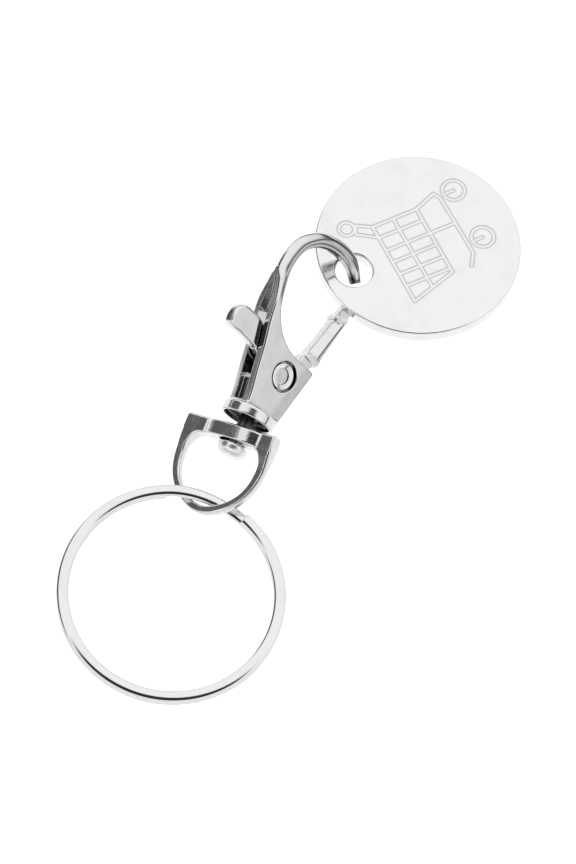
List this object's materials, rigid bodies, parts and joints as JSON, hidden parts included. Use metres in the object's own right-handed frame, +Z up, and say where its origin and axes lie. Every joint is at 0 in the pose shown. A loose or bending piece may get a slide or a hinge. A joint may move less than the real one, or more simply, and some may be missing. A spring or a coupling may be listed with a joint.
{
  "type": "trolley token clasp",
  "caption": "Round drilled trolley token hung on a sprung snap clasp, with a swivelling eye and a two-turn split ring for keys.",
  "frame": {"origin": "middle of the bottom of the bounding box, on the table the object lies on", "axes": "+Z up, away from the table; +Y away from the viewer of the picture, from the split ring towards the token; +X to the viewer's right"},
  "size_m": [0.0514, 0.0652, 0.0118],
  "materials": {
    "clasp_body": "polished nickel plate on a zinc casting",
    "gate_lever": "polished nickel plate on a zinc casting",
    "gate_pivot_pin": "nickel-plated tubular rivet",
    "gate_spring": "drawn spring wire",
    "swivel_stud": "nickel-plated rivet, peened head",
    "swivel_eye": "polished nickel plate on a zinc casting",
    "split_ring": "polished nickel-plated spring steel",
    "token_disc": "stamped and polished, nickel plated"
  },
  "bodies": {
    "clasp": {"clasp_body": "clasp_body", "gate_pivot_pin": "gate_pivot_pin", "swivel_stud": "swivel_stud", "gate_spring": "gate_spring"},
    "gate": {"gate_lever": "gate_lever"},
    "token": {"token_disc": "token_disc"},
    "eye": {"swivel_eye": "swivel_eye"},
    "ring": {"split_ring": "split_ring"}
  },
  "joints": [
    {"name": "gate_hinge", "type": "hinge", "parent": "clasp", "child": "gate", "pos_m": [-0.00172, 0.00507, 0.0041], "axis": [0.6337, -0.3976, 0.6636], "range_deg": [0, 18], "stiffness_Nm_per_rad": 0.01, "springref_deg": -22.92, "deforming": ["gate_spring"]},
    {"name": "eye_swivel", "type": "hinge", "parent": "clasp", "child": "eye", "pos_m": [-0.00551, -0.00164, 0.0037], "axis": [0.4313, 0.8937, 0.1236], "continuous": true},
    {"name": "token_turn", "type": "hinge", "parent": "gate", "child": "token", "pos_m": [0.00702, 0.01761, 0.00318], "axis": [0.0555, 0.1238, 0.9907], "range_deg": [-60, 100]},
    {"name": "ring_flip", "type": "hinge", "parent": "eye", "child": "ring", "pos_m": [-0.00952, -0.00869, 0.00185], "axis": [0.048, 0.9984, 0.0313], "range_deg": [0, 80]}
  ]
}
